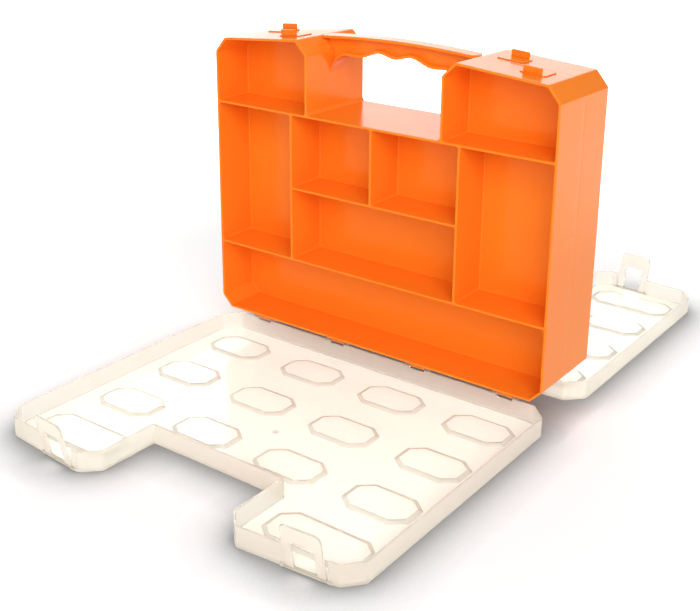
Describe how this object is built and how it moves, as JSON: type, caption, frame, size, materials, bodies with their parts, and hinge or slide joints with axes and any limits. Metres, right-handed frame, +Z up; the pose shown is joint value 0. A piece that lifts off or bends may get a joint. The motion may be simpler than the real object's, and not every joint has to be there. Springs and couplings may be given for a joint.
{
  "type": "double-sided organizer box",
  "caption": "Double-sided organizer box with small compartments on both faces, a carrying handle, and two hinged see-through lids with snap latches.",
  "frame": {"origin": "bottom centre of the whole box, on the table, with both lids opened flat", "axes": "+X along the width, to the right seen from the front, -Y towards the front lid, +Z up"},
  "size_m": [0.294, 0.5176, 0.2505],
  "materials": {
    "orange_body": "gloss",
    "clear_lid": "gloss"
  },
  "bodies": {
    "body": {"body_shell": "orange_body", "partition": "orange_body", "handle": "orange_body", "front_shelf_low": "orange_body", "front_shelf_middle": "orange_body", "front_divider_left": "orange_body", "front_divider_centre": "orange_body", "front_divider_right": "orange_body", "front_horn_floor_left": "orange_body", "front_horn_floor_right": "orange_body", "rear_divider_left": "orange_body", "rear_divider_centre": "orange_body", "rear_divider_right": "orange_body", "rear_shelf_low_1": "orange_body", "rear_shelf_middle_1": "orange_body", "rear_shelf_low_2": "orange_body", "rear_shelf_middle_2": "orange_body", "rear_shelf_low_3": "orange_body", "rear_shelf_middle_3": "orange_body", "rear_shelf_low_4": "orange_body", "rear_shelf_middle_4": "orange_body", "rear_horn_floor_left": "orange_body", "rear_horn_floor_right": "orange_body", "front_catch_outer": "orange_body", "front_catch_inner": "orange_body", "front_catch_pad_outer": "orange_body", "front_catch_pad_inner": "orange_body", "rear_catch_outer": "orange_body", "rear_catch_inner": "orange_body", "rear_catch_pad_outer": "orange_body", "rear_catch_pad_inner": "orange_body", "front_hinge_rail": "orange_body", "front_hinge_hooks": "orange_body", "rear_hinge_rail": "orange_body", "rear_hinge_hooks": "orange_body"},
    "front_lid": {"front_lid_panel": "clear_lid", "front_lid_rim": "clear_lid", "front_lid_notch_rim": "clear_lid", "front_lid_lugs": "clear_lid", "front_lid_pins": "clear_lid"},
    "front_latch_outer": {"front_latch_outer": "clear_lid"},
    "front_latch_inner": {"front_latch_inner": "clear_lid"},
    "rear_lid": {"rear_lid_panel": "clear_lid", "rear_lid_rim": "clear_lid", "rear_lid_notch_rim": "clear_lid", "rear_lid_lugs": "clear_lid", "rear_lid_pins": "clear_lid"},
    "rear_latch_outer": {"rear_latch_outer": "clear_lid"},
    "rear_latch_inner": {"rear_latch_inner": "clear_lid"}
  },
  "joints": [
    {"name": "front_lid_hinge", "type": "hinge", "parent": "body", "child": "front_lid", "pos_m": [0, -0.02, 0.0165], "axis": [-1, 0, 0], "range_deg": [0, 90]},
    {"name": "rear_lid_hinge", "type": "hinge", "parent": "body", "child": "rear_lid", "pos_m": [0, 0.02, 0.0165], "axis": [1, 0, 0], "range_deg": [0, 90]},
    {"name": "front_latch_outer_hinge", "type": "hinge", "parent": "front_lid", "child": "front_latch_outer", "pos_m": [0.11514, -0.24797, 0.00145], "axis": [-0.9966, -0.0829, 0], "range_deg": [-60, 12.5]},
    {"name": "front_latch_inner_hinge", "type": "hinge", "parent": "front_lid", "child": "front_latch_inner", "pos_m": [-0.08715, -0.2503, 0.00145], "axis": [-0.9966, 0.0829, 0], "range_deg": [-60, 12.5]},
    {"name": "rear_latch_outer_hinge", "type": "hinge", "parent": "rear_lid", "child": "rear_latch_outer", "pos_m": [-0.11514, 0.24797, 0.00145], "axis": [0.9966, 0.0829, 0], "range_deg": [-60, 12.5]},
    {"name": "rear_latch_inner_hinge", "type": "hinge", "parent": "rear_lid", "child": "rear_latch_inner", "pos_m": [0.08715, 0.2503, 0.00145], "axis": [0.9966, -0.0829, 0], "range_deg": [-60, 12.5]}
  ]
}
